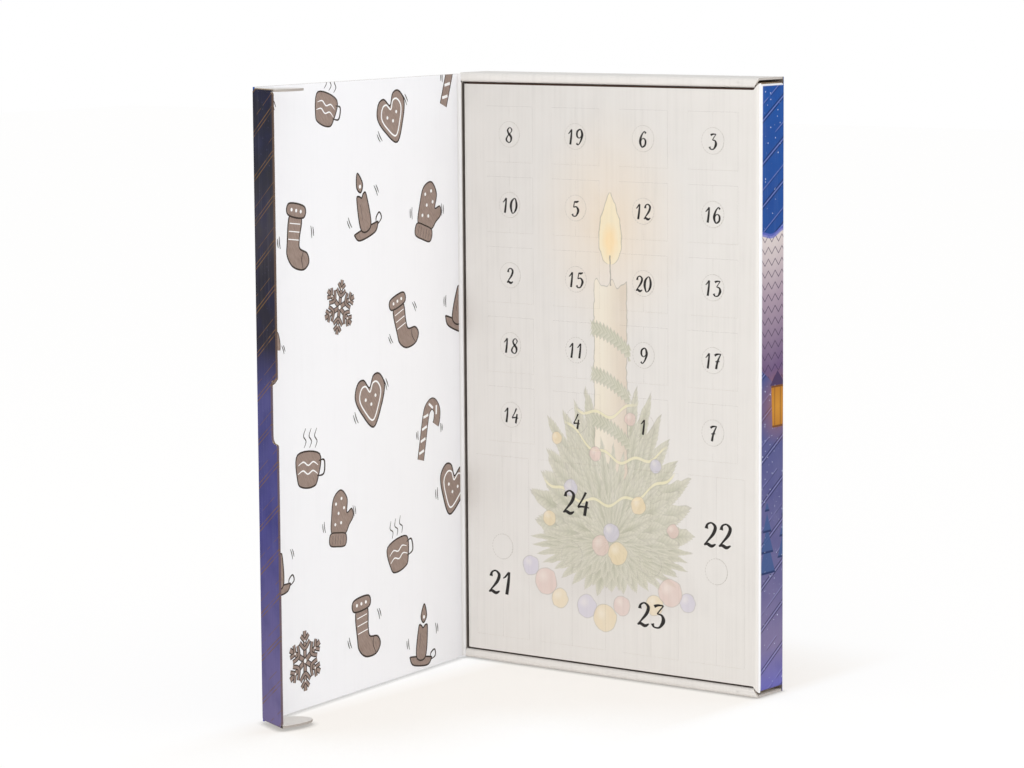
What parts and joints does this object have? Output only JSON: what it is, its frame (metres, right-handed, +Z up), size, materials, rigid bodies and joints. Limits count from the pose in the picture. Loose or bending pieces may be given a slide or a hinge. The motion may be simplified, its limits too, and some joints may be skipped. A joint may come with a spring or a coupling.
{
  "type": "chocolate advent calendar",
  "caption": "Upright folding-board advent calendar: a lid with tuck flap and ears opens on a door panel of numbered windows with paired leaves over a chocolate tray.",
  "frame": {"origin": "centre of the closed tray's underside, where it stands", "axes": "+Z up the tray, +Y from the door panel to the back panel, +X from the spine to the right wall"},
  "size_m": [0.2291, 0.2681, 0.38],
  "materials": {
    "white_board": "white-lined fluted board, matt",
    "door_board": "printed in pale greys and pastels, matt",
    "lid_board": "white lining printed with brown motifs, satin",
    "printed_board": "night-blue print, satin",
    "flap_board": "dark violet print, satin",
    "chocolate": "dark brown film and chocolate, satin"
  },
  "bodies": {
    "tray": {"back_panel": "printed_board", "spine_wall": "printed_board", "right_wall": "printed_board", "bottom_rolled_wall": "white_board", "top_rolled_wall": "white_board", "door_panel": "door_board", "chocolate_tray": "chocolate"},
    "lid": {"lid_panel": "lid_board"},
    "flap": {"tuck_flap": "flap_board"},
    "ear_bottom": {"ear_bottom": "white_board"},
    "ear_top": {"ear_top": "white_board"},
    "leaf_01_left": {"leaf_01_left": "door_board"},
    "leaf_01_right": {"leaf_01_right": "door_board"},
    "leaf_02_left": {"leaf_02_left": "door_board"},
    "leaf_02_right": {"leaf_02_right": "door_board"},
    "leaf_03_left": {"leaf_03_left": "door_board"},
    "leaf_03_right": {"leaf_03_right": "door_board"},
    "leaf_04_left": {"leaf_04_left": "door_board"},
    "leaf_04_right": {"leaf_04_right": "door_board"},
    "leaf_05_left": {"leaf_05_left": "door_board"},
    "leaf_05_right": {"leaf_05_right": "door_board"},
    "leaf_06_left": {"leaf_06_left": "door_board"},
    "leaf_06_right": {"leaf_06_right": "door_board"},
    "leaf_07_left": {"leaf_07_left": "door_board"},
    "leaf_07_right": {"leaf_07_right": "door_board"},
    "leaf_08_left": {"leaf_08_left": "door_board"},
    "leaf_08_right": {"leaf_08_right": "door_board"},
    "leaf_09_left": {"leaf_09_left": "door_board"},
    "leaf_09_right": {"leaf_09_right": "door_board"},
    "leaf_10_left": {"leaf_10_left": "door_board"},
    "leaf_10_right": {"leaf_10_right": "door_board"},
    "leaf_11_left": {"leaf_11_left": "door_board"},
    "leaf_11_right": {"leaf_11_right": "door_board"},
    "leaf_12_left": {"leaf_12_left": "door_board"},
    "leaf_12_right": {"leaf_12_right": "door_board"},
    "leaf_13_left": {"leaf_13_left": "door_board"},
    "leaf_13_right": {"leaf_13_right": "door_board"},
    "leaf_14_left": {"leaf_14_left": "door_board"},
    "leaf_14_right": {"leaf_14_right": "door_board"},
    "leaf_15_left": {"leaf_15_left": "door_board"},
    "leaf_15_right": {"leaf_15_right": "door_board"},
    "leaf_16_left": {"leaf_16_left": "door_board"},
    "leaf_16_right": {"leaf_16_right": "door_board"},
    "leaf_17_left": {"leaf_17_left": "door_board"},
    "leaf_17_right": {"leaf_17_right": "door_board"},
    "leaf_18_left": {"leaf_18_left": "door_board"},
    "leaf_18_right": {"leaf_18_right": "door_board"},
    "leaf_19_left": {"leaf_19_left": "door_board"},
    "leaf_19_right": {"leaf_19_right": "door_board"},
    "leaf_20_left": {"leaf_20_left": "door_board"},
    "leaf_20_right": {"leaf_20_right": "door_board"},
    "leaf_21_left": {"leaf_21_left": "door_board"},
    "leaf_21_right": {"leaf_21_right": "door_board"},
    "leaf_22_left": {"leaf_22_left": "door_board"},
    "leaf_22_right": {"leaf_22_right": "door_board"},
    "leaf_23_left": {"leaf_23_left": "door_board"},
    "leaf_23_right": {"leaf_23_right": "door_board"},
    "leaf_24_left": {"leaf_24_left": "door_board"},
    "leaf_24_right": {"leaf_24_right": "door_board"}
  },
  "joints": [
    {"name": "lid_hinge", "type": "hinge", "parent": "tray", "child": "lid", "pos_m": [-0.1137, -0.0146, 0.19], "axis": [0, 0, -1], "range_deg": [-83.9, 96.1]},
    {"name": "flap_fold", "type": "hinge", "parent": "lid", "child": "flap", "pos_m": [-0.0898, -0.24104, 0.19], "axis": [0, 0, 1], "range_deg": [-59.2, 30.8]},
    {"name": "ear_bottom_fold", "type": "hinge", "parent": "flap", "child": "ear_bottom", "pos_m": [-0.07767, -0.24662, 0.003], "axis": [-0.9085, 0.4179, 0], "range_deg": [0, 90]},
    {"name": "ear_top_fold", "type": "hinge", "parent": "flap", "child": "ear_top", "pos_m": [-0.07767, -0.24662, 0.377], "axis": [0.9085, -0.4179, 0], "range_deg": [0, 90]},
    {"name": "leaf_01_left_crease", "type": "hinge", "parent": "tray", "child": "leaf_01_left", "pos_m": [0.01095, -0.0146, 0.16216], "axis": [0, 0, -1], "range_deg": [0, 110]},
    {"name": "leaf_01_right_crease", "type": "hinge", "parent": "tray", "child": "leaf_01_right", "pos_m": [0.04748, -0.0146, 0.16216], "axis": [0, 0, 1], "range_deg": [0, 110]},
    {"name": "leaf_02_left_crease", "type": "hinge", "parent": "tray", "child": "leaf_02_left", "pos_m": [-0.0923, -0.0146, 0.2518], "axis": [0, 0, -1], "range_deg": [0, 110]},
    {"name": "leaf_02_right_crease", "type": "hinge", "parent": "tray", "child": "leaf_02_right", "pos_m": [-0.05577, -0.0146, 0.2518], "axis": [0, 0, 1], "range_deg": [0, 110]},
    {"name": "leaf_03_left_crease", "type": "hinge", "parent": "tray", "child": "leaf_03_left", "pos_m": [0.06258, -0.0146, 0.34144], "axis": [0, 0, -1], "range_deg": [0, 110]},
    {"name": "leaf_03_right_crease", "type": "hinge", "parent": "tray", "child": "leaf_03_right", "pos_m": [0.0991, -0.0146, 0.34144], "axis": [0, 0, 1], "range_deg": [0, 110]},
    {"name": "leaf_04_left_crease", "type": "hinge", "parent": "tray", "child": "leaf_04_left", "pos_m": [-0.04068, -0.0146, 0.16216], "axis": [0, 0, -1], "range_deg": [0, 110]},
    {"name": "leaf_04_right_crease", "type": "hinge", "parent": "tray", "child": "leaf_04_right", "pos_m": [-0.00415, -0.0146, 0.16216], "axis": [0, 0, 1], "range_deg": [0, 110]},
    {"name": "leaf_05_left_crease", "type": "hinge", "parent": "tray", "child": "leaf_05_left", "pos_m": [-0.04068, -0.0146, 0.29662], "axis": [0, 0, -1], "range_deg": [0, 110]},
    {"name": "leaf_05_right_crease", "type": "hinge", "parent": "tray", "child": "leaf_05_right", "pos_m": [-0.00415, -0.0146, 0.29662], "axis": [0, 0, 1], "range_deg": [0, 110]},
    {"name": "leaf_06_left_crease", "type": "hinge", "parent": "tray", "child": "leaf_06_left", "pos_m": [0.01095, -0.0146, 0.34144], "axis": [0, 0, -1], "range_deg": [0, 110]},
    {"name": "leaf_06_right_crease", "type": "hinge", "parent": "tray", "child": "leaf_06_right", "pos_m": [0.04748, -0.0146, 0.34144], "axis": [0, 0, 1], "range_deg": [0, 110]},
    {"name": "leaf_07_left_crease", "type": "hinge", "parent": "tray", "child": "leaf_07_left", "pos_m": [0.06258, -0.0146, 0.16216], "axis": [0, 0, -1], "range_deg": [0, 110]},
    {"name": "leaf_07_right_crease", "type": "hinge", "parent": "tray", "child": "leaf_07_right", "pos_m": [0.0991, -0.0146, 0.16216], "axis": [0, 0, 1], "range_deg": [0, 110]},
    {"name": "leaf_08_left_crease", "type": "hinge", "parent": "tray", "child": "leaf_08_left", "pos_m": [-0.0923, -0.0146, 0.34144], "axis": [0, 0, -1], "range_deg": [0, 110]},
    {"name": "leaf_08_right_crease", "type": "hinge", "parent": "tray", "child": "leaf_08_right", "pos_m": [-0.05577, -0.0146, 0.34144], "axis": [0, 0, 1], "range_deg": [0, 110]},
    {"name": "leaf_09_left_crease", "type": "hinge", "parent": "tray", "child": "leaf_09_left", "pos_m": [0.01095, -0.0146, 0.20698], "axis": [0, 0, -1], "range_deg": [0, 110]},
    {"name": "leaf_09_right_crease", "type": "hinge", "parent": "tray", "child": "leaf_09_right", "pos_m": [0.04748, -0.0146, 0.20698], "axis": [0, 0, 1], "range_deg": [0, 110]},
    {"name": "leaf_10_left_crease", "type": "hinge", "parent": "tray", "child": "leaf_10_left", "pos_m": [-0.0923, -0.0146, 0.29662], "axis": [0, 0, -1], "range_deg": [0, 110]},
    {"name": "leaf_10_right_crease", "type": "hinge", "parent": "tray", "child": "leaf_10_right", "pos_m": [-0.05577, -0.0146, 0.29662], "axis": [0, 0, 1], "range_deg": [0, 110]},
    {"name": "leaf_11_left_crease", "type": "hinge", "parent": "tray", "child": "leaf_11_left", "pos_m": [-0.04068, -0.0146, 0.20698], "axis": [0, 0, -1], "range_deg": [0, 110]},
    {"name": "leaf_11_right_crease", "type": "hinge", "parent": "tray", "child": "leaf_11_right", "pos_m": [-0.00415, -0.0146, 0.20698], "axis": [0, 0, 1], "range_deg": [0, 110]},
    {"name": "leaf_12_left_crease", "type": "hinge", "parent": "tray", "child": "leaf_12_left", "pos_m": [0.01095, -0.0146, 0.29662], "axis": [0, 0, -1], "range_deg": [0, 110]},
    {"name": "leaf_12_right_crease", "type": "hinge", "parent": "tray", "child": "leaf_12_right", "pos_m": [0.04748, -0.0146, 0.29662], "axis": [0, 0, 1], "range_deg": [0, 110]},
    {"name": "leaf_13_left_crease", "type": "hinge", "parent": "tray", "child": "leaf_13_left", "pos_m": [0.06258, -0.0146, 0.2518], "axis": [0, 0, -1], "range_deg": [0, 110]},
    {"name": "leaf_13_right_crease", "type": "hinge", "parent": "tray", "child": "leaf_13_right", "pos_m": [0.0991, -0.0146, 0.2518], "axis": [0, 0, 1], "range_deg": [0, 110]},
    {"name": "leaf_14_left_crease", "type": "hinge", "parent": "tray", "child": "leaf_14_left", "pos_m": [-0.0923, -0.0146, 0.16216], "axis": [0, 0, -1], "range_deg": [0, 110]},
    {"name": "leaf_14_right_crease", "type": "hinge", "parent": "tray", "child": "leaf_14_right", "pos_m": [-0.05577, -0.0146, 0.16216], "axis": [0, 0, 1], "range_deg": [0, 110]},
    {"name": "leaf_15_left_crease", "type": "hinge", "parent": "tray", "child": "leaf_15_left", "pos_m": [-0.04068, -0.0146, 0.2518], "axis": [0, 0, -1], "range_deg": [0, 110]},
    {"name": "leaf_15_right_crease", "type": "hinge", "parent": "tray", "child": "leaf_15_right", "pos_m": [-0.00415, -0.0146, 0.2518], "axis": [0, 0, 1], "range_deg": [0, 110]},
    {"name": "leaf_16_left_crease", "type": "hinge", "parent": "tray", "child": "leaf_16_left", "pos_m": [0.06258, -0.0146, 0.29662], "axis": [0, 0, -1], "range_deg": [0, 110]},
    {"name": "leaf_16_right_crease", "type": "hinge", "parent": "tray", "child": "leaf_16_right", "pos_m": [0.0991, -0.0146, 0.29662], "axis": [0, 0, 1], "range_deg": [0, 110]},
    {"name": "leaf_17_left_crease", "type": "hinge", "parent": "tray", "child": "leaf_17_left", "pos_m": [0.06258, -0.0146, 0.20698], "axis": [0, 0, -1], "range_deg": [0, 110]},
    {"name": "leaf_17_right_crease", "type": "hinge", "parent": "tray", "child": "leaf_17_right", "pos_m": [0.0991, -0.0146, 0.20698], "axis": [0, 0, 1], "range_deg": [0, 110]},
    {"name": "leaf_18_left_crease", "type": "hinge", "parent": "tray", "child": "leaf_18_left", "pos_m": [-0.0923, -0.0146, 0.20698], "axis": [0, 0, -1], "range_deg": [0, 110]},
    {"name": "leaf_18_right_crease", "type": "hinge", "parent": "tray", "child": "leaf_18_right", "pos_m": [-0.05577, -0.0146, 0.20698], "axis": [0, 0, 1], "range_deg": [0, 110]},
    {"name": "leaf_19_left_crease", "type": "hinge", "parent": "tray", "child": "leaf_19_left", "pos_m": [-0.04068, -0.0146, 0.34144], "axis": [0, 0, -1], "range_deg": [0, 110]},
    {"name": "leaf_19_right_crease", "type": "hinge", "parent": "tray", "child": "leaf_19_right", "pos_m": [-0.00415, -0.0146, 0.34144], "axis": [0, 0, 1], "range_deg": [0, 110]},
    {"name": "leaf_20_left_crease", "type": "hinge", "parent": "tray", "child": "leaf_20_left", "pos_m": [0.01095, -0.0146, 0.2518], "axis": [0, 0, -1], "range_deg": [0, 110]},
    {"name": "leaf_20_right_crease", "type": "hinge", "parent": "tray", "child": "leaf_20_right", "pos_m": [0.04748, -0.0146, 0.2518], "axis": [0, 0, 1], "range_deg": [0, 110]},
    {"name": "leaf_21_left_crease", "type": "hinge", "parent": "tray", "child": "leaf_21_left", "pos_m": [-0.1024, -0.0146, 0.076], "axis": [0, 0, -1], "range_deg": [0, 95]},
    {"name": "leaf_21_right_crease", "type": "hinge", "parent": "tray", "child": "leaf_21_right", "pos_m": [-0.06065, -0.0146, 0.076], "axis": [0, 0, 1], "range_deg": [0, 95]},
    {"name": "leaf_22_left_crease", "type": "hinge", "parent": "tray", "child": "leaf_22_left", "pos_m": [0.06255, -0.0146, 0.076], "axis": [0, 0, -1], "range_deg": [0, 95]},
    {"name": "leaf_22_right_crease", "type": "hinge", "parent": "tray", "child": "leaf_22_right", "pos_m": [0.1043, -0.0146, 0.076], "axis": [0, 0, 1], "range_deg": [0, 95]},
    {"name": "leaf_23_left_crease", "type": "hinge", "parent": "tray", "child": "leaf_23_left", "pos_m": [0.0133, -0.0146, 0.076], "axis": [0, 0, -1], "range_deg": [0, 95]},
    {"name": "leaf_23_right_crease", "type": "hinge", "parent": "tray", "child": "leaf_23_right", "pos_m": [0.05505, -0.0146, 0.076], "axis": [0, 0, 1], "range_deg": [0, 95]},
    {"name": "leaf_24_left_crease", "type": "hinge", "parent": "tray", "child": "leaf_24_left", "pos_m": [-0.05245, -0.0146, 0.076], "axis": [0, 0, -1], "range_deg": [0, 95]},
    {"name": "leaf_24_right_crease", "type": "hinge", "parent": "tray", "child": "leaf_24_right", "pos_m": [-0.0007, -0.0146, 0.076], "axis": [0, 0, 1], "range_deg": [0, 95]}
  ]
}
